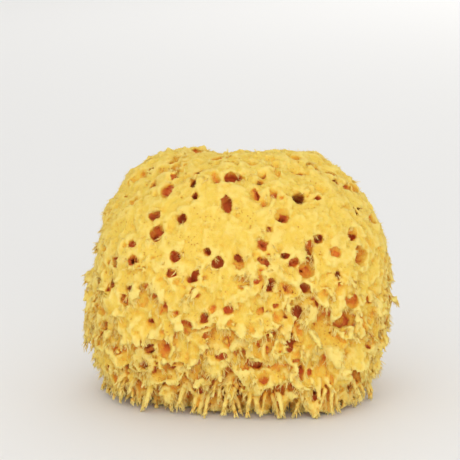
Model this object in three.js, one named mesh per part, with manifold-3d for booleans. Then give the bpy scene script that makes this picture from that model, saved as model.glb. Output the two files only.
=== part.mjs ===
// A bath sponge: the cleaned, dried skeleton of one Mediterranean honeycomb sponge, cut off flat where it grew on rock.
// It is one piece, a rounded lump with a few broad swellings. Its mouths open all over it into blind canals.
// Millimetres, +Z up, the showy side towards -Y, the origin at the middle of the underside.
import * as THREE from "three";
import { mergeVertices } from "three/addons/utils/BufferGeometryUtils.js";
import Module from "manifold-3d";

const WIDTH = 100;
const DEPTH = 74;
const HEIGHT = 80;

const FULLNESS = 2.8; // 2 makes the lump an ellipsoid, and more makes it boxier
const CUT_DEPTH = 0.1; // how much of the grown height was left on the rock
const BODY_DETAIL = 8;
const MOUTH_SIDES = 8;
const SMALL_MOUTH = { width: 3, sides: 6 }; // one no wider than this has fewer sides
const FLARE = 4; // how far a canal's cutter stands out of its mouth

// The broad swellings: the bearing round the sponge from the front, the rise above its middle, and the height of each.
const SWELLINGS = [
  { bearing: 6, rise: 6, height: 2.4 },
  { bearing: -34, rise: 4, height: 2.2 },
  { bearing: 40, rise: -26, height: 3.6 },
  { bearing: -44, rise: -46, height: -4 },
  { bearing: -64, rise: 36, height: -3 },
  { bearing: 58, rise: 40, height: -2.2 },
  { bearing: 96, rise: 4, height: 4 },
  { bearing: 138, rise: -28, height: 3 },
  { bearing: 172, rise: 10, height: 4.2 },
  { bearing: -146, rise: 12, height: -2.6 },
  { bearing: -100, rise: -12, height: 3.6 },
  { bearing: -118, rise: 50, height: 3.4 },
  { bearing: 116, rise: 54, height: 3.2 },
  { bearing: -10, rise: 64, height: 2 },
  { bearing: 158, rise: 48, height: -3.4 },
  { bearing: -168, rise: -34, height: 2.6 },
];
const SWELLING_SPREAD = 0.38; // radians from its top to where a swelling has mostly faded

// The mouths of the front: [across, up, wide, tall, turn in degrees, how deep the canal goes], set by hand.
// The shallow ones are hollows, and a small deep one inside a wide one is the canal that opens at its bottom.
const FRONT_MOUTHS = [
  // the crown, left of the middle
  [-19, 78, 2.5, 2, 0, 3],
  [-13, 77, 3, 2.5, 35, 12],
  [-15, 74, 1.5, 3.5, 0, 11],
  [-23, 72, 4.5, 5.5, -20, 5],
  [-28, 72, 3, 5, 10, 4],
  [-14, 71, 2, 2, 0, 8],
  [-3, 76, 4, 3, 0, 12],
  [-8, 76, 3, 5, 15, 2],
  [-4, 69, 3, 5, -10, 7],
  [-27, 64, 4, 2.5, 25, 6],
  [-26, 60, 4, 4.5, 0, 8],
  [-18, 64, 3, 3, 0, 8],
  // the crown, right of the middle
  [0, 76, 2, 2, 0, 7],
  [8, 77, 3, 4, 0, 2],
  [7, 75, 1.5, 1.5, 0, 10],
  [5, 72, 2.5, 5, 10, 2],
  [20, 76, 5, 2, -10, 3],
  [11, 71, 2.5, 3, 0, 3],
  [8, 69, 3.5, 1.5, 10, 2],
  [19, 70, 4.5, 4, -15, 6],
  [20, 69, 1.5, 2.5, 0, 11],
  [25, 69, 2, 2, 0, 5],
  [13, 66, 4, 6.5, -20, 3],
  [14, 65, 2.5, 2.5, 0, 6],
  [9, 61, 1.5, 1.5, 0, 4],
  [25, 58, 3, 3, 0, 5],
  [7, 57, 2.5, 4, 0, 5],
  // the middle, left
  [-20, 53, 3.5, 3, -20, 6],
  [-10, 55, 1.5, 2, 10, 9],
  [-7, 52, 4, 3.5, 0, 12],
  [-21, 48, 3.5, 2, 0, 4],
  [-14, 47, 2, 5.5, -40, 5],
  [-30, 43, 2, 2.5, 0, 4],
  [-27, 40, 1.5, 2, 0, 3],
  [-24, 36, 3, 5, -15, 4],
  [-20, 35, 2.5, 2.5, 0, 2],
  [-9, 37, 2, 3.5, -25, 3],
  [-11, 34, 2, 3, -10, 6],
  [-4, 37, 3, 2, 0, 5],
  [-28, 31, 4, 4.5, 0, 4],
  [-16, 31, 3.5, 5, 0, 2],
  // the middle, right
  [0, 53, 2, 2, 0, 11],
  [0, 51, 3, 4, 0, 4],
  [8, 52, 5, 1.5, -45, 4],
  [14, 53, 3, 2.5, -15, 5],
  [22, 55, 3, 4.5, 0, 5],
  [22, 52, 3, 2.5, 0, 12],
  [21, 49, 4.5, 5, -35, 6],
  [17, 51, 3.5, 2, 25, 4],
  [1, 46, 5.5, 3.5, 0, 2],
  [10, 45, 3, 4, -10, 5],
  [9, 43, 2, 2, 0, 11],
  [20, 43, 4.5, 3.5, -20, 6],
  [15, 43, 4, 3.5, 0, 2],
  [18, 36, 3.5, 4.5, 0, 7],
  [6, 36, 2, 3, 25, 3],
  [12, 34, 4.5, 5, 0, 2],
  [24, 31, 3, 5, 0, 3],
  // the foot, left
  [-29, 23, 3, 3, 0, 9],
  [-24, 23, 4, 6, -10, 4],
  [-30, 16, 2.5, 2.5, 0, 6],
  [-22, 17, 4, 3, 0, 8],
  [-6, 21, 4, 2, 0, 4],
  [-26, 8, 4, 5, 0, 5],
  [-12, 9, 5.5, 4.5, 20, 4],
  [-5, 7, 1.5, 7, 0, 9],
  [-2, 8, 2, 6, 0, 7],
  // the foot, right
  [9, 28, 3.5, 2.5, 0, 6],
  [15, 25, 2, 4.5, 0, 6],
  [1, 22, 2.5, 3, 0, 3],
  [5, 18, 4.5, 3, -10, 8],
  [19, 16, 1.5, 3.5, 0, 6],
  [22, 15, 1.5, 3.5, -10, 5],
  [8, 13, 4, 5.5, 0, 2],
  [13, 10, 2.5, 3, 0, 4],
  [1, 7, 3, 6, 0, 5],
  [17, 6, 2, 4, 0, 7],
  [24, 7, 3, 2.5, 0, 5],
];
const FRONT_LEAN = 0.35; // how far those canals dip below the horizontal

// The mouths of the rest, spread evenly and then shifted, each with a width and a depth inside these limits.
const OTHER_MOUTHS = 60;
const OTHER_WIDTH = [3, 6.4];
const OTHER_SQUASH = [0.7, 1.3]; // how tall a mouth is for its width
const OTHER_DEPTH = [7, 12];
const HOLLOW_DEPTH = [2.5, 5];
const HOLLOW_SHARE = 0.5; // of them are only hollows, with a depth from the second pair
const SMALL_BIAS = 1.6; // more than 1 makes most of them small
const OTHER_RISE = [0.97, -0.6]; // the sine of the rise, from the first to the last
const OTHER_SHIFT = 0.09; // radians
const FRONT_WINDOW = { across: 31, front: -0.25 }; // where only the listed mouths open
const HEART = 0.46; // the share of the height that those canals point in at

// The canals that the cut laid open: rings of round holes in the underside, clear of its middle.
const BASE_RINGS = [
  { holes: 5, across: 13, along: 9.5, width: 3.4 },
  { holes: 9, across: 23, along: 16, width: 3 },
];
const BASE_HOLE_DEPTH = 7;
const BASE_HOLE_SQUASH = [0.8, 1.3];
const BASE_HOLE_SHIFT = 0.4; // of the step from one hole to the next

const wasm = await Module();
wasm.setup();

// A repeatable stream of numbers from 0 to 1.
let seed = 20;
function chance() {
  seed = (seed * 1664525 + 1013904223) % 4294967296;
  return seed / 4294967296;
}

function between([low, high], share) {
  return low + (high - low) * share;
}

// The unit direction at a bearing from the front, positive to the right, and a rise above the horizontal.
function direction(bearing, rise) {
  const b = THREE.MathUtils.degToRad(bearing);
  const r = THREE.MathUtils.degToRad(rise);
  return new THREE.Vector3(Math.sin(b) * Math.cos(r), -Math.cos(b) * Math.cos(r), Math.sin(r));
}

function toSolid(geometry) {
  const bare = geometry.clone();
  bare.deleteAttribute("normal");
  bare.deleteAttribute("uv");
  const merged = mergeVertices(bare, 1e-4);
  return new wasm.Manifold(
    new wasm.Mesh({
      numProp: 3,
      vertProperties: new Float32Array(merged.attributes.position.array),
      triVerts: new Uint32Array(merged.index.array),
    }),
  );
}

function toGeometry(solid) {
  const mesh = solid.getMesh();
  const geometry = new THREE.BufferGeometry();
  geometry.setAttribute("position", new THREE.BufferAttribute(mesh.vertProperties, mesh.numProp));
  geometry.setIndex(new THREE.BufferAttribute(mesh.triVerts, 1));
  return geometry;
}

const swellings = SWELLINGS.map(({ bearing, rise, height }) => ({ top: direction(bearing, rise), height }));

function swell(u) {
  let sum = 0;
  for (const { top, height } of swellings) {
    const angle = u.angleTo(top);
    sum += height * Math.exp(-((angle / SWELLING_SPREAD) ** 2));
  }
  return sum;
}

// The lump as it grew, with its middle at the origin: a full, swollen ellipsoid.
function grownLump() {
  const geometry = new THREE.IcosahedronGeometry(1, BODY_DETAIL);
  const position = geometry.attributes.position;
  const u = new THREE.Vector3();
  for (let i = 0; i < position.count; i++) {
    u.fromBufferAttribute(position, i).normalize();
    const x = Math.abs((2 * u.x) / WIDTH) ** FULLNESS;
    const y = Math.abs((2 * u.y) / DEPTH) ** FULLNESS;
    const z = Math.abs((2 * u.z) / HEIGHT) ** FULLNESS;
    u.multiplyScalar((x + y + z) ** (-1 / FULLNESS) + swell(u));
    position.setXYZ(i, u.x, u.y, u.z);
  }
  return geometry;
}

// The lump after its foot is cut off, brought to the real size and stood on the cut.
function cutLump() {
  const grown = grownLump();
  grown.computeBoundingBox();
  const size = grown.boundingBox.getSize(new THREE.Vector3());
  const cutAt = grown.boundingBox.min.z + size.z * CUT_DEPTH;
  const foot = new THREE.BoxGeometry(3 * WIDTH, 3 * DEPTH, HEIGHT);
  foot.translate(0, 0, cutAt - HEIGHT / 2);
  const lump = toGeometry(toSolid(grown).subtract(toSolid(foot)));
  lump.computeBoundingBox();
  lump.boundingBox.getSize(size);
  const middle = lump.boundingBox.getCenter(new THREE.Vector3());
  lump.translate(-middle.x, -middle.y, -lump.boundingBox.min.z);
  lump.scale(WIDTH / size.x, DEPTH / size.y, HEIGHT / size.z);
  return lump;
}

const lump = cutLump();
const target = new THREE.Mesh(lump, new THREE.MeshBasicMaterial({ side: THREE.DoubleSide }));
const heart = new THREE.Vector3(0, 0, HEIGHT * HEART);

// Where a straight line from outside first meets the lump, and the way out of it there.
function meet(from, towards) {
  const [hit] = new THREE.Raycaster(from, towards).intersectObject(target);
  return hit && { point: hit.point, out: hit.face.normal.clone() };
}

// The space inside one canal: a finger with a round blind end that narrows inwards, from its mouth at the origin down -Y.
function canal(wide, tall, turn, deep) {
  const profile = [
    [0, -deep],
    [0.82, -deep * 0.62],
    [1, 0],
    [1.12, FLARE],
    [0, FLARE],
  ].map(([radius, height]) => new THREE.Vector2(radius, height));
  const sides = wide > SMALL_MOUTH.width ? MOUTH_SIDES : SMALL_MOUTH.sides;
  const finger = new THREE.LatheGeometry(profile, sides);
  finger.scale(wide / 2, 1, tall / 2);
  finger.rotateY(THREE.MathUtils.degToRad(turn));
  return finger;
}

// Turns a canal to lie along `inwards`, its mouth's tall side upright, and puts it at the point.
function place(finger, point, inwards) {
  const up = inwards.clone().negate();
  const side = new THREE.Vector3(0, 0, 1).cross(up).normalize();
  const tall = new THREE.Vector3().crossVectors(side, up);
  finger.applyMatrix4(new THREE.Matrix4().makeBasis(side, up, tall).setPosition(point));
  return finger;
}

function frontCanals() {
  return FRONT_MOUTHS.map(([across, up, wide, tall, turn, deep]) => {
    const { point, out } = meet(new THREE.Vector3(across, -DEPTH, up), new THREE.Vector3(0, 1, 0));
    const level = new THREE.Vector3(0, 1, -FRONT_LEAN * chance());
    const inwards = out.negate().add(level).normalize();
    return place(canal(wide, tall, turn, deep), point, inwards);
  });
}

function otherCanals() {
  const found = [];
  const golden = Math.PI * (3 - Math.sqrt(5));
  for (let i = 0; i < OTHER_MOUTHS; i++) {
    const rise = between(OTHER_RISE, i / (OTHER_MOUTHS - 1));
    const level = Math.sqrt(1 - rise * rise);
    const u = new THREE.Vector3(level * Math.cos(golden * i), level * Math.sin(golden * i), rise);
    u.add(new THREE.Vector3(chance() - 0.5, chance() - 0.5, chance() - 0.5).multiplyScalar(2 * OTHER_SHIFT));
    u.normalize();
    const wide = between(OTHER_WIDTH, chance() ** SMALL_BIAS);
    const tall = wide * between(OTHER_SQUASH, chance());
    const turn = 180 * chance();
    const deep = between(chance() < HOLLOW_SHARE ? HOLLOW_DEPTH : OTHER_DEPTH, chance());
    const { point, out } = meet(u.clone().multiplyScalar(2 * WIDTH).add(heart), u.clone().negate());
    if (out.y < FRONT_WINDOW.front && Math.abs(point.x) < FRONT_WINDOW.across) continue;
    const inwards = out.negate().sub(u).normalize();
    found.push(place(canal(wide, tall, turn, deep), point, inwards));
  }
  return found;
}

function baseCanals() {
  const found = [];
  for (const { holes, across, along, width } of BASE_RINGS) {
    for (let i = 0; i < holes; i++) {
      const angle = (2 * Math.PI * (i + BASE_HOLE_SHIFT * chance())) / holes;
      const wide = width * between(BASE_HOLE_SQUASH, chance());
      const finger = canal(wide, wide * between(BASE_HOLE_SQUASH, chance()), 0, BASE_HOLE_DEPTH);
      finger.rotateX(-Math.PI / 2);
      finger.translate(across * Math.cos(angle), along * Math.sin(angle), 0);
      found.push(finger);
    }
  }
  return found;
}

function spongeGeometry() {
  const canals = [...frontCanals(), ...otherCanals(), ...baseCanals()].map(toSolid);
  const hollow = canals.reduce((all, one) => all.add(one));
  const pieces = toSolid(lump).subtract(hollow).decompose();
  const whole = pieces.reduce((a, b) => (a.volume() > b.volume() ? a : b));
  return toGeometry(whole);
}

const spongin = new THREE.MeshStandardMaterial({ color: 0xecca5e, roughness: 0.95, metalness: 0 });
const sponge = new THREE.Mesh(spongeGeometry(), spongin);
sponge.name = "sponge";

const part = new THREE.Group();
part.add(sponge);

export default part;
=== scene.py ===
import math

import bmesh
import bpy
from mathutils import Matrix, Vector


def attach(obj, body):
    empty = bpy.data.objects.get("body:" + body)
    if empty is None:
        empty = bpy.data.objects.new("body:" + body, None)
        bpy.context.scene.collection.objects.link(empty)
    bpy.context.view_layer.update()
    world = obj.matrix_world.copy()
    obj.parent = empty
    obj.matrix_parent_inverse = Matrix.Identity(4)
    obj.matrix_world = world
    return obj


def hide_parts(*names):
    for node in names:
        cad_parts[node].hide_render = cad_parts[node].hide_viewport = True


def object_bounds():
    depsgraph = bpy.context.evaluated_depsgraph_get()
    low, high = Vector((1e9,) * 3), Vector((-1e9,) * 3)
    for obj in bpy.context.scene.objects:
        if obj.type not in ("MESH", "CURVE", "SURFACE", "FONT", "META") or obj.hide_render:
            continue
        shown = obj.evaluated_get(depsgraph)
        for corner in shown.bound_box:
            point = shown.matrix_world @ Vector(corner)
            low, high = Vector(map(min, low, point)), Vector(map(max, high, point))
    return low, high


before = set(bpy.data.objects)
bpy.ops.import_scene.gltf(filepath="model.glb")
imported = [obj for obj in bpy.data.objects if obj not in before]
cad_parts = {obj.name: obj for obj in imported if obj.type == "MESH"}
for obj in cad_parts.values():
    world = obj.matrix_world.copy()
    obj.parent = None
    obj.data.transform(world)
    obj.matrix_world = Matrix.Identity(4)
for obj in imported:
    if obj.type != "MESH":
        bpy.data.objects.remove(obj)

cad_low, cad_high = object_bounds()
MM = 0.001

# --- The view ----------------------------------------------------------------------------------
# A long lens a little above the sponge, looking slightly down on it across a table.
EYE_HEIGHT = 202 * MM
EYE_DISTANCE = 620 * MM
EYE_ASIDE = -3 * MM
AIM_HEIGHT = 62.8 * MM
FRONT_GAP = 2 * MM
LENS = 162.6

aim = Vector((EYE_ASIDE, cad_low.y - FRONT_GAP, AIM_HEIGHT))
eye = Vector((EYE_ASIDE, aim.y - EYE_DISTANCE, EYE_HEIGHT))
camera = bpy.data.objects.new("camera", bpy.data.cameras.new("camera"))
camera.location = eye
camera.rotation_euler = (aim - eye).to_track_quat("-Z", "Y").to_euler()
camera.data.lens = LENS
camera.data.sensor_width = 36
camera.data.clip_start = 0.01
bpy.context.scene.collection.objects.link(camera)
bpy.context.scene.camera = camera

# --- The body ----------------------------------------------------------------------------------
# The sponge's own body is a felt of horny fibre, one piece, grown round canals that open through
# its mouths. It is grown here as a field inside the solid, with the tufts of its shaggy foot
# joined on, and then meshed.


class Wiring:
    """Fills a node tree. Each call adds a node and returns one of its outputs."""

    def __init__(self, tree):
        self.tree = tree

    def node(self, kind, inputs=None, **settings):
        made = self.tree.nodes.new(kind)
        for name, value in settings.items():
            setattr(made, name, value)
        for name, value in (inputs or {}).items():
            if isinstance(value, bpy.types.NodeSocket):
                self.tree.links.new(value, made.inputs[name])
            else:
                made.inputs[name].default_value = value
        return made

    def add(self, kind, inputs=None, out=0, **settings):
        return self.node(kind, inputs, **settings).outputs[out]

    def maths(self, operation, *values):
        return self.add("ShaderNodeMath", dict(enumerate(values)), operation=operation)

    def vector(self, operation, *values, out=0):
        return self.add("ShaderNodeVectorMath", dict(enumerate(values)), out, operation=operation)

    def scaled(self, vector, factor):
        return self.add("ShaderNodeVectorMath", {"Vector": vector, "Scale": factor}, operation="SCALE")

    def ramp(self, value, low, high, to_low=0.0, to_high=1.0, smooth=True):
        ends = {"Value": value, "From Min": low, "From Max": high, "To Min": to_low, "To Max": to_high}
        kind = "SMOOTHSTEP" if smooth else "LINEAR"
        return self.add("ShaderNodeMapRange", ends, interpolation_type=kind)

    def mix(self, factor, low, high):
        return self.add("ShaderNodeMix", {"Factor": factor, 2: low, 3: high}, data_type="FLOAT")

    def noise(self, place, scale, detail=1.0, out=0):
        return self.add("ShaderNodeTexNoise", {"Vector": place, "Scale": scale, "Detail": detail}, out)

    def wobble(self, place, scale, reach, detail=1.0):
        """Noise from about -reach to reach."""
        middled = self.maths("SUBTRACT", self.noise(place, scale, detail), 0.5)
        return self.maths("MULTIPLY", middled, self.maths("MULTIPLY", reach, 3.0))

    def cells(self, place, scale, randomness=1.0, **settings):
        inputs = {"Vector": place, "Scale": scale, "Randomness": randomness}
        return self.node("ShaderNodeTexVoronoi", inputs, **settings).outputs

    def height(self, vector):
        return self.add("ShaderNodeSeparateXYZ", {0: vector}, 2)

    def chance(self, low, high, seed):
        """A random number between two, or a random vector between two, for each point."""
        if isinstance(low, tuple):
            inputs = {0: low, 1: high, 8: seed}
            return self.add("FunctionNodeRandomValue", inputs, 0, data_type="FLOAT_VECTOR")
        return self.add("FunctionNodeRandomValue", {2: low, 3: high, 8: seed}, 1, data_type="FLOAT")

    def stored(self, geometry, name, value, kind="FLOAT", domain="POINT"):
        inputs = {"Geometry": geometry, "Name": name, "Value": value}
        return self.add("GeometryNodeStoreNamedAttribute", inputs, data_type=kind, domain=domain)

    def named(self, name, kind="FLOAT"):
        return self.add("GeometryNodeInputNamedAttribute", {"Name": name}, data_type=kind)

    def openness(self, target, reach, rays):
        """How far the sky over each point is clear of the target within reach, from 0 to 1."""
        normal = self.add("GeometryNodeInputNormal")
        start = self.vector("MULTIPLY_ADD", normal, (0.05 * MM,) * 3, self.add("GeometryNodeInputPosition"))
        hidden = 0.0
        for i in range(rays):
            rise = 1 - (2 * i + 1) / rays
            level = math.sqrt(1 - rise * rise)
            turn = i * math.pi * (3 - math.sqrt(5))
            spread = (0.98 * level * math.cos(turn), 0.98 * level * math.sin(turn), 0.98 * rise)
            hit = self.node("GeometryNodeRaycast", {
                "Target Geometry": target, "Source Position": start, "Ray Length": reach,
                "Ray Direction": self.vector("ADD", normal, spread)}).outputs
            near = self.maths("SUBTRACT", 1.0, self.maths("DIVIDE", hit["Hit Distance"], reach))
            hidden = self.maths("MULTIPLY_ADD", near, hit["Is Hit"], hidden)
        return self.maths("SUBTRACT", 1.0, self.maths("DIVIDE", hidden, float(rays)))

    def end(self, geometry, material=None):
        if material:
            geometry = self.add("GeometryNodeRealizeInstances", {"Geometry": geometry})
            geometry = self.add("GeometryNodeSetMaterial", {"Geometry": geometry, "Material": material})
        self.tree.links.new(geometry, self.tree.nodes.new("NodeGroupOutput").inputs[0])
        return self.tree


def new_tree(name, inputs):
    """An empty geometry tree with one geometry in and out, and the named inputs."""
    tree = bpy.data.node_groups.new(name, "GeometryNodeTree")
    tree.interface.new_socket("Geometry", in_out="INPUT", socket_type="NodeSocketGeometry")
    tree.interface.new_socket("Geometry", in_out="OUTPUT", socket_type="NodeSocketGeometry")
    for label, value in inputs.items():
        kind = "NodeSocketInt" if isinstance(value, int) else "NodeSocketFloat"
        socket = tree.interface.new_socket(label, in_out="INPUT", socket_type=kind)
        socket.default_value = value
    return Wiring(tree), tree.nodes.new("NodeGroupInput").outputs


def grown(name, mesh, tree, inputs):
    """A new object whose plain mesh is what the tree makes of this one, with its inputs set."""
    made = bpy.data.objects.new(name, mesh)
    bpy.context.scene.collection.objects.link(made)
    modifier = made.modifiers.new("grow", "NODES")
    modifier.node_group = tree
    for item in tree.interface.items_tree:
        if item.in_out == "INPUT" and item.name in inputs:
            modifier[item.identifier] = inputs[item.name]
    bpy.context.view_layer.update()
    depsgraph = bpy.context.evaluated_depsgraph_get()
    result = bpy.data.meshes.new_from_object(made.evaluated_get(depsgraph), depsgraph=depsgraph)
    made.modifiers.clear()
    made.data = result
    result.name = name
    return made


BODY = {  # millimetres
    "Voxel": 0.52,
    "Bend of mouths": 3.0,
    "Mouth growth": 0.35,
    "Canal floor": 6.1,
    "Skin depth": 1.0,
    "Shag depth": 2.7,
    "Shag top": 56.0,
    "Shag bottom": 22.0,
    "Hollow spacing": 8.5,
    "Lap height": 3.3,
    "Lap fray": 1.1,
    "Lap wander": 10.0,
    "Tuft spacing": 2.1,
    "Fringe height": 9.0,
    "Pit spacing": 6.2,
    "Dimple spacing": 3.2,
}
BROAD = 0.16  # the scale of the broad noise, in waves to the millimetre
FINE = 0.6
FINE_BEND = (2.1, 2.1, 2.1)  # mm
HOLLOW_BEND = (5.0, 5.0, 5.0)
TUFT_LENGTH = (2.8, 5.8)
TUFT_THICKNESS = (0.75, 1.3)
FRINGE_LENGTH = 8.0
FRINGE_THICKNESS = (0.7, 1.25)
TUFT_STEPS = 13  # along the line of points down each tuft
TUFT_TAPER = 0.55
FRONT_EDGE = (32.0, 27.0)  # across, where the solid's own listed mouths end and begin
FRONT_FACE = (-10.0, -16.0)  # along y, the same
OPEN_SKIN = 0.72  # a face of the solid is its skin, not a canal, where it is more open than this
LAP_BEND = (6.0, 6.0, 9.0)  # mm, so that the laps are not in rows
LAP_CELLS = (0.175, 0.175, 0.12)  # cells in a mm each way: a lap is taller than it is wide
HALF_BAND = 1.2  # mm either side of the surface where the field is not yet clipped
MARGIN = 4.0 * MM


def shagginess(w, given, place):
    """0 on the smooth crown and 1 on the shaggy foot, with an uneven edge. Places are in millimetres."""
    uneven = w.wobble(place, 0.045, 12.0)
    return w.ramp(w.maths("ADD", w.height(place), uneven), given["Shag top"], given["Shag bottom"])


def laps(w, given, place, lift):
    """How high the lap stands at a place: from -0.6 in its hollow to 1 at its frayed lower edge.

    `lift` is how far the place stands out of the skin, because the edges hang down as they stand out.
    """
    broad = w.vector("SUBTRACT", w.noise(place, BROAD, 1.0, out=1), (0.5, 0.5, 0.5))
    streak = w.maths("SUBTRACT", w.noise(w.vector("MULTIPLY", place, (1.0, 1.0, 0.14)), 1.0, 2.0), 0.5)
    hang = w.maths("MULTIPLY_ADD", w.maths("MULTIPLY", streak, 4.0), given["Lap fray"], lift)
    hang = w.maths("ADD", hang, w.wobble(place, 0.045, given["Lap wander"]))
    hung = w.vector("ADD", place, w.add("ShaderNodeCombineXYZ", {2: hang}))
    hung = w.vector("MULTIPLY_ADD", broad, LAP_BEND, hung)
    cell_place = w.vector("MULTIPLY", hung, LAP_CELLS)
    cell = w.cells(cell_place, 1.0, 0.95)
    below = w.height(w.vector("SUBTRACT", cell["Position"], cell_place))
    return w.ramp(below, -0.5, 0.5, -0.6, 1.0, smooth=False)


def tuft_points(w, given, skin):
    """One point at the root of each tuft, with the way it grows, how long, how thick and how it bends."""
    place = w.scaled(w.add("GeometryNodeInputPosition"), 1 / MM)
    shag = shagginess(w, given, place)
    foot = w.ramp(w.height(place), w.maths("ADD", given["Fringe height"], 2.0), given["Fringe height"])
    high_enough = w.ramp(w.height(place), 5.0, 6.5)
    on_edges = w.ramp(laps(w, given, place, 0.0), 0.3, 0.6, 0.0, 0.34)
    crowd = w.maths("MULTIPLY", w.maths("MAXIMUM", foot, w.maths("MULTIPLY", shag, on_edges)), high_enough)
    spread = w.node("GeometryNodeDistributePointsOnFaces", {
        "Mesh": skin, "Distance Min": w.maths("MULTIPLY", given["Tuft spacing"], MM),
        "Density Max": 1e6, "Density Factor": crowd, "Seed": 3}, distribute_method="POISSON").outputs
    points = spread["Points"]
    normal = w.vector("NORMALIZE", spread["Normal"])
    points = w.stored(points, "normal", normal, "FLOAT_VECTOR")
    normal = w.named("normal", "FLOAT_VECTOR")
    outward = w.vector("MULTIPLY", normal, (1.0, 1.0, 0.3))
    outward = w.scaled(outward, w.mix(foot, 0.32, 0.12))
    drop = w.add("ShaderNodeCombineXYZ", {2: w.maths("MULTIPLY", w.mix(shag, 0.2, 1.0), -1.0)})
    way = w.vector("ADD", w.vector("ADD", outward, drop), w.chance((-0.34,) * 3, (0.34,) * 3, 1))
    way = w.vector("NORMALIZE", way)
    fall = w.maths("MAXIMUM", w.maths("MULTIPLY", w.height(way), -1.0), 0.15)
    room = w.maths("DIVIDE", w.maths("SUBTRACT", w.height(place), w.chance(0.3, 2.6, 2)), fall)
    long = w.maths("MINIMUM", w.chance(*TUFT_LENGTH, 3), room)
    long = w.mix(foot, long, w.maths("MINIMUM", room, FRINGE_LENGTH))
    points = w.stored(points, "way", way, "FLOAT_VECTOR")
    points = w.stored(points, "long", long)
    thick = w.mix(foot, w.chance(*TUFT_THICKNESS, 4), w.chance(*FRINGE_THICKNESS, 5))
    points = w.stored(points, "thick", thick)
    points = w.stored(points, "bend", w.chance((-1.0, -1.0, -0.7), (1.0, 1.0, 0.0), 6), "FLOAT_VECTOR")
    sunk = w.mix(foot, 2.4, 1.2)
    back = w.scaled(normal, w.maths("MULTIPLY", sunk, -MM))
    return w.add("GeometryNodeSetPosition", {"Geometry": points, "Offset": back})


def bent_along(w, geometry):
    """Bends what stands on each point, more towards its tip, where the attribute `along` is 1."""
    push = w.maths("MULTIPLY", w.maths("POWER", w.named("along"), 2.0), MM)
    geometry = w.add("GeometryNodeSetPosition", {
        "Geometry": geometry, "Offset": w.scaled(w.named("bend", "FLOAT_VECTOR"), push)})
    above_table = w.vector("MAXIMUM", w.add("GeometryNodeInputPosition"), (-1.0, -1.0, 0.1 * MM))
    return w.add("GeometryNodeSetPosition", {"Geometry": geometry, "Position": above_table})


def signed_distance(w, target, sample):
    """The distance to a surface from a place, both in millimetres, positive on its outside."""
    metres = w.scaled(sample, MM)
    near = w.node("GeometryNodeProximity", {"Geometry": target, "Sample Position": metres},
                  target_element="FACES").outputs
    way = w.add("GeometryNodeSampleNearestSurface", {
        "Mesh": target, "Value": w.named("outward", "FLOAT_VECTOR"), "Sample Position": metres},
        data_type="FLOAT_VECTOR")
    across = w.vector("SUBTRACT", metres, near["Position"])
    side = w.maths("SIGN", w.vector("DOT_PRODUCT", across, way, out=1))
    return w.maths("MULTIPLY", w.maths("MULTIPLY", near["Distance"], 1 / MM), side)


def split_solid(w, solid):
    """The solid with its way out stored, and its outer skin alone, without canals and cut."""
    solid = w.stored(solid, "outward", w.add("GeometryNodeInputNormal"), "FLOAT_VECTOR")
    open_air = w.maths("GREATER_THAN", w.openness(solid, 30 * MM, 12), OPEN_SKIN)
    not_cut = w.maths("GREATER_THAN", w.height(w.add("GeometryNodeInputNormal")), -0.97)
    skin = w.add("GeometryNodeSeparateGeometry", {
        "Geometry": solid, "Selection": w.maths("MULTIPLY", open_air, not_cut)}, domain="FACE")
    return solid, skin


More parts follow.
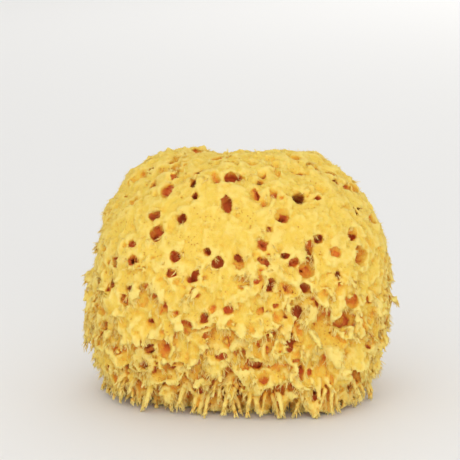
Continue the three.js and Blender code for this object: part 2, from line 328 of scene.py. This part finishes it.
def body_tree():
    w, given = new_tree("body", BODY)
    solid, skin = split_solid(w, given["Geometry"])
    place = w.scaled(w.add("GeometryNodeInputPosition"), 1 / MM)
    shag = shagginess(w, given, place)

    # Nothing here is quite round, so the solid is bent before it is measured.
    broad = w.vector("SUBTRACT", w.noise(place, BROAD, 1.0, out=1), (0.5, 0.5, 0.5))
    fine = w.vector("SUBTRACT", w.noise(place, FINE, 1.0, out=1), (0.5, 0.5, 0.5))
    bent = w.vector("ADD", place, w.scaled(broad, given["Bend of mouths"]))
    bent = w.vector("MULTIPLY_ADD", fine, FINE_BEND, bent)
    to_solid = signed_distance(w, solid, bent)
    to_skin = signed_distance(w, skin, bent)

    # The skin: broad waves, shallow hollows with ridges between them, and grain.
    waves = w.wobble(place, 0.09, 1.0)
    cell_place = w.vector("MULTIPLY_ADD", broad, HOLLOW_BEND, place)
    cell_place = w.vector("MULTIPLY", cell_place, (1.0, 1.0, 0.8))
    cell_scale = w.maths("DIVIDE", 1.0, given["Hollow spacing"])
    edge = w.cells(cell_place, cell_scale, feature="DISTANCE_TO_EDGE")["Distance"]
    ridge = w.ramp(edge, 0.26, 0.0)
    uneven = w.ramp(w.noise(place, 0.22), 0.3, 0.7, 0.3, 1.4)
    ridge = w.maths("MULTIPLY", ridge, w.maths("MULTIPLY", w.mix(shag, 0.55, 1.5), uneven))
    grain = w.maths("MULTIPLY", w.wobble(place, 0.7, 0.5, 2.0), w.mix(shag, 1.0, 1.2))

    dimple = w.cells(place, w.maths("DIVIDE", 1.0, given["Dimple spacing"]))
    dimple_depth = w.ramp(w.add("ShaderNodeSeparateXYZ", {0: dimple["Color"]}, 0), 0.3, 1.0, 0.0, 1.0)
    dimple = w.maths("MULTIPLY", w.ramp(dimple["Distance"], 0.34, 0.08), dimple_depth)
    grain = w.maths("SUBTRACT", grain, dimple)

    # The laps of the shaggy part: each stands out at its frayed lower edge over the next.
    inset = w.mix(shag, given["Skin depth"], given["Shag depth"])
    lift = w.maths("MULTIPLY", w.maths("ADD", to_skin, inset), 0.8)
    lap = w.maths("MULTIPLY", laps(w, given, place, lift), given["Lap height"])
    lap = w.maths("MULTIPLY", lap, w.maths("MAXIMUM", shag, 0.04))

    outer = w.maths("ADD", w.maths("ADD", to_skin, inset), waves)
    outer = w.maths("SUBTRACT", w.maths("SUBTRACT", outer, ridge), w.maths("ADD", grain, lap))

    # The tufts: a line of points down each, with the tuft as thick as its point says.
    line = w.add("GeometryNodeMeshLine", {"Count": TUFT_STEPS + 1, "Offset": (0.0, 0.0, 1 / TUFT_STEPS)})
    line = w.stored(line, "along", w.maths("DIVIDE", w.add("GeometryNodeInputIndex"), float(TUFT_STEPS)))
    upright = w.add("FunctionNodeAlignRotationToVector", {"Vector": w.named("way", "FLOAT_VECTOR")}, axis="Z")
    tufts = w.add("GeometryNodeInstanceOnPoints", {
        "Points": tuft_points(w, given, skin), "Instance": line, "Rotation": upright,
        "Scale": w.maths("MULTIPLY", w.named("long"), MM)})
    tufts = bent_along(w, w.add("GeometryNodeRealizeInstances", {"Geometry": tufts}))
    metres = w.add("GeometryNodeInputPosition")
    nearest = w.add("GeometryNodeSampleNearest", {"Geometry": tufts, "Sample Position": metres})
    centre = w.add("GeometryNodeSampleIndex", {
        "Geometry": tufts, "Value": w.add("GeometryNodeInputPosition"), "Index": nearest},
        data_type="FLOAT_VECTOR")
    taper = w.ramp(w.named("along"), 0.0, 1.0, 1.0, TUFT_TAPER, smooth=False)
    taper = w.maths("MULTIPLY", w.named("thick"), taper)
    radius = w.add("GeometryNodeSampleIndex", {"Geometry": tufts, "Value": taper, "Index": nearest})
    to_tuft = w.vector("DISTANCE", metres, centre, out=1)
    to_tuft = w.maths("SUBTRACT", w.maths("DIVIDE", to_tuft, MM), radius)
    to_tuft = w.maths("SUBTRACT", to_tuft, w.maths("MULTIPLY", grain, 0.5))
    outer = w.maths("SMOOTH_MIN", outer, to_tuft, 0.9)

    # The canals, with pockets in their walls, and the round pits of the skin, which are few and small
    # where the solid's own mouths stand close, at the front.
    near_skin = w.maths("MAXIMUM", w.maths("ADD", to_skin, 0.6), 0.0)
    canal = w.maths("MULTIPLY_ADD", near_skin, -1.5, w.maths("ADD", to_solid, given["Mouth growth"]))
    pocket = w.cells(bent, 0.2, 0.95)
    pocket = w.maths("SUBTRACT", 1.6, w.maths("MULTIPLY", pocket["Distance"], 5.0))
    pocket = w.maths("MINIMUM", pocket, w.maths("ADD", to_solid, 2.0))
    pocket = w.maths("MINIMUM", pocket, w.maths("SUBTRACT", -2.4, to_skin))
    across, along_y, _ = w.node("ShaderNodeSeparateXYZ", {0: place}).outputs
    front = w.ramp(w.maths("ABSOLUTE", across), *FRONT_EDGE)
    front = w.maths("MULTIPLY", front, w.ramp(along_y, *FRONT_FACE))
    pit = w.cells(bent, w.maths("DIVIDE", 1.0, given["Pit spacing"]))
    some = w.add("ShaderNodeSeparateXYZ", {0: pit["Color"]}, 0)
    pit_radius = w.ramp(some, 0.05, 1.0, 0.0, w.mix(front, 3.0, 1.3), smooth=False)
    pit = w.maths("SUBTRACT", pit_radius, w.maths("MULTIPLY", pit["Distance"], given["Pit spacing"]))
    hollow = w.maths("SMOOTH_MAX", canal, pocket, 0.6)
    hollow = w.maths("MINIMUM", hollow, w.maths("ADD", to_skin, given["Canal floor"]))
    hollow = w.maths("SMOOTH_MAX", hollow, pit, 0.3)

    field = w.maths("SMOOTH_MAX", outer, hollow, 0.35)
    rough_cut = w.maths("ADD", w.wobble(place, 0.35, 0.2), w.wobble(place, 1.1, 0.2, 2.0))
    under = w.maths("SUBTRACT", rough_cut, w.height(place))
    field = w.maths("MAXIMUM", field, w.maths("ADD", under, 0.45))
    density = w.ramp(field, HALF_BAND, -HALF_BAND, smooth=False)

    low, high = cad_low - Vector((MARGIN,) * 3), cad_high + Vector((MARGIN,) * 3)
    inputs = {"Density": density, "Min": low, "Max": high}
    for name, reach in zip("XYZ", high - low):
        inputs[f"Resolution {name}"] = w.maths("DIVIDE", reach / MM, given["Voxel"])
    volume = w.add("GeometryNodeVolumeCube", inputs)
    mesh = w.add("GeometryNodeVolumeToMesh", {"Volume": volume, "Threshold": 0.5})

    # Only the one great piece stays.
    island = w.node("GeometryNodeInputMeshIsland").outputs["Island Index"]
    size = w.node("GeometryNodeAccumulateField", {"Value": 1.0, "Group ID": island}).outputs["Total"]
    mesh = w.stored(mesh, "size", size)
    sizes = {"Geometry": mesh, "Attribute": w.named("size")}
    most = w.node("GeometryNodeAttributeStatistic", sizes).outputs["Max"]
    small = w.maths("LESS_THAN", w.named("size"), most)
    return w.end(w.add("GeometryNodeDeleteGeometry", {"Geometry": mesh, "Selection": small}, domain="POINT"))


def solid_copy(node):
    """A copy of a CAD node's mesh with its loose triangles joined, smooth."""
    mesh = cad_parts[node].data.copy()
    work = bmesh.new()
    work.from_mesh(mesh)
    bmesh.ops.remove_doubles(work, verts=work.verts, dist=1e-6)
    work.to_mesh(mesh)
    work.free()
    mesh.shade_smooth()
    return mesh


solid_mesh = solid_copy("sponge")
body = grown("sponge_body", solid_mesh.copy(), body_tree(), BODY)

# The field's mesh is finer than the piece needs, so its flat stretches are thinned.
BODY_TRIANGLES = 196000
body.data.calc_loop_triangles()
thin = body.modifiers.new("thin", "DECIMATE")
thin.ratio = min(1.0, BODY_TRIANGLES / len(body.data.loop_triangles))
thin.use_collapse_triangulate = True


def apply_modifiers(obj):
    depsgraph = bpy.context.evaluated_depsgraph_get()
    result = bpy.data.meshes.new_from_object(obj.evaluated_get(depsgraph), depsgraph=depsgraph)
    obj.modifiers.clear()
    obj.data = result


apply_modifiers(body)
body.data.shade_smooth()

# How open to the air each point lies, and how far it stands out: for the painted shade of the hollows and
# creases in the colours, and for where the fuzz and lashes grow.
OPENNESS_SETTINGS = {
    "Reach": 9.0,
    "Near reach": 2.5,
    "Sky reach": 30.0,
    "Peak rings": 9,
    "Peak height": 0.8,
    "Halo rings": 14,
}


def openness_and_shade_tree():
    w, given = new_tree("openness_measure", OPENNESS_SETTINGS)
    mesh = given["Geometry"]
    far = w.openness(mesh, w.maths("MULTIPLY", given["Reach"], MM), 14)
    sky = w.openness(mesh, w.maths("MULTIPLY", given["Sky reach"], MM), 12)
    far = w.maths("MULTIPLY", far, w.ramp(sky, 0.14, 0.4, 0.2, 1.0))
    far = w.add("GeometryNodeBlurAttribute", {"Value": far, "Iterations": 1})
    mesh = w.stored(mesh, "open", far)
    halo = w.add("GeometryNodeBlurAttribute", {"Value": far, "Iterations": given["Halo rings"]})
    mesh = w.stored(mesh, "halo", halo)
    near = w.openness(given["Geometry"], w.maths("MULTIPLY", given["Near reach"], MM), 10)
    near = w.add("GeometryNodeBlurAttribute", {"Value": near, "Iterations": 1})
    mesh = w.stored(mesh, "near", near)
    place = w.add("GeometryNodeInputPosition")
    mean = w.add("GeometryNodeBlurAttribute", {"Value": place, "Iterations": given["Peak rings"]},
                 data_type="FLOAT_VECTOR")
    out = w.vector("DOT_PRODUCT", w.vector("SUBTRACT", place, mean), w.add("GeometryNodeInputNormal"), out=1)
    lowest = w.maths("MULTIPLY", given["Peak height"], -MM)
    highest = w.maths("MULTIPLY", given["Peak height"], MM)
    peak = w.ramp(out, lowest, highest, smooth=False)
    return w.end(w.stored(mesh, "peak", peak))


openness_measure = grown("measured_openness", body.data, openness_and_shade_tree(), OPENNESS_SETTINGS)
body.data = openness_measure.data
bpy.data.objects.remove(openness_measure)
body.data.shade_smooth()


# Painted shade: the ramp runs from amber and rust for the shade of the deepest hollows to the fibre's own
# deep yellow where the skin lies open.
PAINTED_SHADE_TO_YELLOW = [  # from the deepest hollow to what lies open
    (0.0, (0.79, 0.2, 0.05)),
    (0.2, (0.82, 0.27, 0.05)),
    (0.42, (0.88, 0.43, 0.05)),
    (0.66, (0.885, 0.555, 0.07)),
    (0.92, (0.875, 0.61, 0.096)),
]
STRAW = (0.955, 0.755, 0.235, 1)
FIBRE_STRAW = (0.97, 0.79, 0.29, 1)
# Painted shade in the pin-prick pores, holes too fine for the mesh.
PAINTED_PORE_SHADE = (0.72, 0.29, 0.045, 1)


def spongin(name, fibre):
    """The horny fibre: straw on what stands out, deep yellow on the open skin, then painted shade in amber
    and rust into the hollows and creases.
    """
    material = bpy.data.materials.new(name)
    material.use_nodes = True
    nodes = material.node_tree.nodes
    links = material.node_tree.links
    w = Wiring(material.node_tree)
    bsdf = nodes["Principled BSDF"]
    place = w.scaled(w.add("ShaderNodeTexCoord", out=3), 1 / MM)
    opened = w.add("ShaderNodeAttribute", out=2, attribute_name="open")
    near = w.add("ShaderNodeAttribute", out=2, attribute_name="near")
    peak = w.add("ShaderNodeAttribute", out=2, attribute_name="peak")
    halo = w.add("ShaderNodeAttribute", out=2, attribute_name="halo")
    mottle = w.maths("ADD", w.wobble(place, 0.09, 0.5, 3.0), w.wobble(place, 0.42, 0.35, 2.0))
    swirl = w.vector("SUBTRACT", w.noise(place, 0.25, 1.0, out=1), (0.5, 0.5, 0.5))
    combed = w.vector("MULTIPLY_ADD", swirl, (7.0, 7.0, 7.0), place)
    streak = w.wobble(w.vector("MULTIPLY", combed, (1.2, 1.2, 0.28)), 1.0, 0.5, 3.0)
    # Painted shade: the less open the skin (open, halo and near), the further the colour runs towards amber
    # and rust; the mottle and streaks are the fibre's own uneven tone.
    light = w.maths("MULTIPLY_ADD", mottle, 0.2, w.mix(0.35, opened, halo))
    light = w.maths("MULTIPLY_ADD", streak, 0.2, light)
    light = w.maths("MULTIPLY", light, w.ramp(near, 0.2, 0.9, 0.86, 1.0))
    if not fibre:
        # Painted shade in the creases, where the skin stands in rather than out.
        light = w.maths("SUBTRACT", light, w.ramp(peak, 0.42, 0.1, 0.0, 0.22))
        # Painted shade: the foot is darker and browner near the table, behind its fringe, but not the cut.
        cut = w.ramp(w.height(place), 1.4, 0.8)
        shade_near_table = w.ramp(w.height(place), 0.0, 9.0, 0.55, 1.0)
        light = w.maths("MULTIPLY", light, w.maths("MAXIMUM", shade_near_table, cut))
    ramp = w.node("ShaderNodeValToRGB", {"Fac": light})
    while len(ramp.color_ramp.elements) < len(PAINTED_SHADE_TO_YELLOW):
        ramp.color_ramp.elements.new(0.5)
    for element, (at, colour) in zip(ramp.color_ramp.elements, PAINTED_SHADE_TO_YELLOW):
        element.position = at
        element.color = (*colour, 1)
    colour = ramp.outputs[0]
    if fibre:
        # The fibres pale towards their tips; they stay less pale where they lie closed in, which is painted
        # shade.
        pale = w.ramp(w.add("ShaderNodeAttribute", out=2, attribute_name="along"), 0.0, 1.0, 0.15, 1.0)
        pale = w.maths("MULTIPLY", pale, w.ramp(opened, 0.2, 0.6, 0.4, 1.0))
    else:
        # Straw on the streaks and peaks, partly the fibre's own tone and partly painted highlight, as it is
        # kept to the open skin; it is less pale towards the top.
        pale = w.maths("MULTIPLY_ADD", w.ramp(streak, 0.0, 0.5), 0.45, w.ramp(peak, 0.45, 1.0))
        pale = w.maths("MULTIPLY", w.maths("MINIMUM", pale, 1.0), w.ramp(opened, 0.4, 0.85, 0.0, 0.85))
        pale = w.maths("MULTIPLY", pale, w.ramp(w.height(place), 66.0, 40.0, 0.65, 1.0))
    straw = FIBRE_STRAW if fibre else STRAW
    colour = w.add("ShaderNodeMix", {"Factor": pale, 6: colour, 7: straw}, 2, data_type="RGBA")
    if not fibre:
        # Pin-prick pores, in patches: holes too fine for the mesh, painted with rust-dark shade and given a
        # bump.
        cell = w.cells(place, 1.15, 1.0)
        pore_size = w.ramp(w.add("ShaderNodeSeparateXYZ", {0: cell["Color"]}, 0), 0.1, 1.0, 0.0, 0.36)
        pore = w.ramp(cell["Distance"], pore_size, w.maths("MULTIPLY", pore_size, 0.5))
        patch = w.ramp(w.noise(place, 0.13, 1.0), 0.42, 0.56)
        pore = w.maths("MULTIPLY", pore, w.maths("MULTIPLY", patch, w.ramp(peak, 0.75, 0.5)))
        pore_shade_share = w.maths("MULTIPLY", pore, 0.9)
        colour = w.add("ShaderNodeMix", {"Factor": pore_shade_share, 6: colour, 7: PAINTED_PORE_SHADE}, 2, data_type="RGBA")
        grain = w.maths("MULTIPLY_ADD", pore, -0.8, w.noise(place, 2.2, 4.0))
        grain = w.maths("MULTIPLY_ADD", streak, 0.5, grain)
        bump = w.add("ShaderNodeBump", {"Strength": 0.8, "Distance": 0.4 * MM, "Height": grain})
        links.new(bump, bsdf.inputs["Normal"])
    links.new(colour, bsdf.inputs["Base Color"])
    bsdf.inputs["Roughness"].default_value = 0.85
    bsdf.inputs["Specular IOR Level"].default_value = 0.1 if fibre else 0.2
    bsdf.inputs["Subsurface Weight"].default_value = 0.0 if fibre else 0.3
    bsdf.inputs["Subsurface Radius"].default_value = (1.0, 0.7, 0.35)
    bsdf.inputs["Subsurface Scale"].default_value = 1.5 * MM
    return material


felt = spongin("spongin_felt", False)
body.data.materials.clear()
body.data.materials.append(felt)
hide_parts("sponge")
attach(body, "root")

# --- The tips of the tufts -----------------------------------------------------------------------
# Each tuft frays at its end into a few stiff blunt fibres, which spread a little. They are bent
# cones of the same horny fibre, rooted in the tufts that are part of the body.
TIPS = {"Fibres": 6, "Fibre length": 2.0, "Fibre thickness": 0.36, "Splay": 0.32}

fibre_felt = spongin("spongin_fibre", True)


def fibre_cone(w, segments, end):
    """One fibre, 1 long, from a base 1 in radius to an end this wide, with `along` from root to tip."""
    cone = w.add("GeometryNodeMeshCone", {
        "Vertices": 3, "Side Segments": segments, "Radius Top": end, "Radius Bottom": 1.0, "Depth": 1.0})
    return w.stored(cone, "along", w.height(w.add("GeometryNodeInputPosition")))


def frayed(w, points, fibres, apart, splay, seed):
    """Makes each point a few, a little apart, and gives the way that each of them grows."""
    points = w.add("GeometryNodeDuplicateElements", {"Geometry": points, "Amount": fibres}, domain="POINT")
    shift = w.scaled(w.chance((-apart,) * 3, (apart,) * 3, seed), MM)
    points = w.add("GeometryNodeSetPosition", {"Geometry": points, "Offset": shift})
    turn = w.scaled(w.chance((-1.0,) * 3, (1.0,) * 3, seed + 1), splay)
    way = w.vector("NORMALIZE", w.vector("ADD", w.named("way", "FLOAT_VECTOR"), turn))
    return w.stored(points, "way", way, "FLOAT_VECTOR")


def fibres_on(w, points, thick, long, segments=2, end=0.5):
    """Stands a bent fibre on each point along its way; thick and long are in millimetres."""
    way = w.named("way", "FLOAT_VECTOR")
    height = w.maths("DIVIDE", w.height(w.add("GeometryNodeInputPosition")), MM)
    too_low = w.maths("LESS_THAN", height, 0.9)
    points = w.add("GeometryNodeDeleteGeometry", {"Geometry": points, "Selection": too_low}, domain="POINT")
    fall = w.maths("MAXIMUM", w.maths("MULTIPLY", w.height(way), -1.0), 0.15)
    room = w.maths("DIVIDE", w.maths("SUBTRACT", height, 0.3), fall)
    upright = w.add("FunctionNodeAlignRotationToVector", {"Vector": way}, axis="Z")
    size = w.add("ShaderNodeCombineXYZ", {0: thick, 1: thick, 2: w.maths("MINIMUM", long, room)})
    made = w.add("GeometryNodeInstanceOnPoints", {
        "Points": points, "Instance": fibre_cone(w, segments, end), "Rotation": upright,
        "Scale": w.scaled(size, MM)})
    return bent_along(w, w.add("GeometryNodeRealizeInstances", {"Geometry": made}))


def tips_tree():
    w, given = new_tree("tips", {**BODY, **TIPS})
    _, skin = split_solid(w, given["Geometry"])
    points = tuft_points(w, given, skin)
    sweep = w.vector("MULTIPLY_ADD", w.named("way", "FLOAT_VECTOR"),
                     w.maths("MULTIPLY", w.named("long"), 0.8 * MM),
                     w.scaled(w.named("bend", "FLOAT_VECTOR"), 0.64 * MM))
    points = w.add("GeometryNodeSetPosition", {"Geometry": points, "Offset": sweep})
    # Painted shade: the tips are taken as less open, so darker amber, the nearer they hang to the table.
    up = w.maths("DIVIDE", w.height(w.add("GeometryNodeInputPosition")), MM)
    sky = w.ramp(up, 1.0, 16.0, 0.52, 0.85)
    points = w.stored(points, "open", sky)
    points = w.stored(points, "halo", sky)
    points = w.stored(points, "near", 0.9)
    points = frayed(w, points, given["Fibres"], 0.4, given["Splay"], 11)
    points = w.stored(points, "bend", w.chance((-0.4, -0.4, -0.3), (0.4, 0.4, 0.2), 15), "FLOAT_VECTOR")
    thick = w.maths("MULTIPLY", given["Fibre thickness"], w.chance(0.7, 1.3, 13))
    long = w.maths("MULTIPLY", given["Fibre length"], w.chance(0.5, 1.1, 14))
    return w.end(fibres_on(w, points, thick, long, end=0.6), fibre_felt)


tips = grown("sponge_tips", solid_mesh.copy(), tips_tree(), {**BODY, **TIPS})
tips.data.shade_smooth()
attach(tips, "root")

# --- The lashes ------------------------------------------------------------------------------------
# Little bundles of fibre that stand out along the ridges, the frayed edges and the rims of the
# mouths. They are thin bent cones, rooted just inside the body's skin.
LASHES = {"Spacing": 1.1, "Fibres": 5, "Length": 1.9, "Thickness": 0.16}


def lash_crowd(w):
    place = w.scaled(w.add("GeometryNodeInputPosition"), 1 / MM)
    clumps = w.ramp(w.noise(place, 0.4), 0.45, 0.62)
    clumps = w.maths("MULTIPLY", clumps, w.ramp(w.height(place), 70.0, 40.0, 0.4, 1.0))
    out = w.maths("MULTIPLY", w.ramp(w.named("peak"), 0.6, 0.9), w.ramp(w.named("open"), 0.4, 0.6))
    by_hollow = w.ramp(w.named("halo"), 0.92, 0.75)
    return w.maths("MULTIPLY", w.maths("MULTIPLY", out, clumps), by_hollow)


def lash_way(w, normal):
    """Over the skin, each patch in its own direction, and more and more downwards towards the foot."""
    place = w.scaled(w.add("GeometryNodeInputPosition"), 1 / MM)
    flow = w.vector("SUBTRACT", w.noise(place, 0.18, 1.0, out=1), (0.5, 0.5, 0.5))
    flow = w.vector("MULTIPLY_ADD", flow, (2.2, 2.2, 2.2), w.scaled(normal, 0.4))
    down = w.add("ShaderNodeCombineXYZ", {2: w.ramp(w.height(place), 66.0, 20.0, -0.1, -0.9)})
    return w.vector("NORMALIZE", w.vector("ADD", flow, down))


def body_fibres_tree(name, inputs, where, seed, **shape):
    """Fibres on the body, one or a bundle of them at each root; `where` gives how many roots a place has."""
    w, given = new_tree(name, inputs)
    spread = w.node("GeometryNodeDistributePointsOnFaces", {
        "Mesh": given["Geometry"], "Distance Min": w.maths("MULTIPLY", given["Spacing"], MM),
        "Density Max": 1e8, "Density Factor": where(w), "Seed": seed}, distribute_method="POISSON").outputs
    points = w.stored(spread["Points"], "way", lash_way(w, spread["Normal"]), "FLOAT_VECTOR")
    sunk = w.scaled(spread["Normal"], -0.12 * MM)
    points = w.add("GeometryNodeSetPosition", {"Geometry": points, "Offset": sunk})
    points = frayed(w, points, given["Fibres"], 0.35 if inputs["Fibres"] > 1 else 0.0, 0.16, seed + 4)
    points = w.stored(points, "bend", w.chance((-0.6, -0.6, -0.6), (0.6, 0.6, 0.2), seed + 1), "FLOAT_VECTOR")
    long = w.maths("MULTIPLY", given["Length"], w.chance(0.5, 1.2, seed + 2))
    thick = w.maths("MULTIPLY", given["Thickness"], w.chance(0.65, 1.2, seed + 3))
    return w.end(fibres_on(w, points, thick, long, **shape), fibre_felt)


lashes_tree = body_fibres_tree("lashes", LASHES, lash_crowd, 31)
lashes = grown("sponge_lashes", body.data.copy(), lashes_tree, LASHES)
lashes.data.shade_smooth()
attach(lashes, "root")

# --- The fuzz --------------------------------------------------------------------------------------
# The finest fibre, short and close, which covers the open skin but not the hollows. Each one is
# a thin pointed cone, rooted just inside the body's skin.
FUZZ = {"Spacing": 0.72, "Fibres": 1, "Length": 1.2, "Thickness": 0.085}


def fuzz_crowd(w):
    return w.ramp(w.named("open"), 0.42, 0.62)


fuzz_tree = body_fibres_tree("fuzz", FUZZ, fuzz_crowd, 41, segments=1, end=0.0)
fuzz = grown("sponge_fuzz", body.data.copy(), fuzz_tree, FUZZ)
fuzz.data.shade_smooth()
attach(fuzz, "root")

# --- The table and the light -------------------------------------------------------------------
# A pale matt table, a wide soft light above the front, one low on the right and a weaker one behind.
FLOOR_REACH = 3.0
FLOOR_COLOUR = (0.84, 0.83, 0.81, 1)
SKY_STRENGTH = 0.84
LIT_PLACE = Vector((0, 0, 0.04))
SOFTBOX_WIDTH = 1.0
SOFTBOXES = [  # name, place in metres, watts
    ("key", (-0.2, -0.8, 0.55), 1.7),
    ("fill", (0.25, -1.0, 0.12), 3.9),
    ("back", (0.3, 1.1, 0.5), 1.6),
]
floor_mesh = bpy.data.meshes.new("floor")
corners = [(-FLOOR_REACH, -FLOOR_REACH, 0), (FLOOR_REACH, -FLOOR_REACH, 0),
           (FLOOR_REACH, FLOOR_REACH, 0), (-FLOOR_REACH, FLOOR_REACH, 0)]
floor_mesh.from_pydata(corners, [], [(0, 1, 2, 3)])
floor = bpy.data.objects.new("floor", floor_mesh)
bpy.context.scene.collection.objects.link(floor)
paint = bpy.data.materials.new("pale floor")
paint.use_nodes = True
paint.node_tree.nodes["Principled BSDF"].inputs["Base Color"].default_value = FLOOR_COLOUR
paint.node_tree.nodes["Principled BSDF"].inputs["Roughness"].default_value = 0.8
floor_mesh.materials.append(paint)

world = bpy.data.worlds.new("studio")
bpy.context.scene.world = world
world.use_nodes = True
world.node_tree.nodes["Background"].inputs["Color"].default_value = (1, 1, 1, 1)
world.node_tree.nodes["Background"].inputs["Strength"].default_value = SKY_STRENGTH

for name, place, watts in SOFTBOXES:
    lamp = bpy.data.lights.new(name, "AREA")
    lamp.shape = "DISK"
    lamp.size = SOFTBOX_WIDTH
    lamp.energy = watts
    softbox = bpy.data.objects.new(name, lamp)
    softbox.location = place
    softbox.rotation_euler = (LIT_PLACE - softbox.location).to_track_quat("-Z", "Y").to_euler()
    bpy.context.scene.collection.objects.link(softbox)

bpy.context.scene.view_settings.view_transform = "Standard"
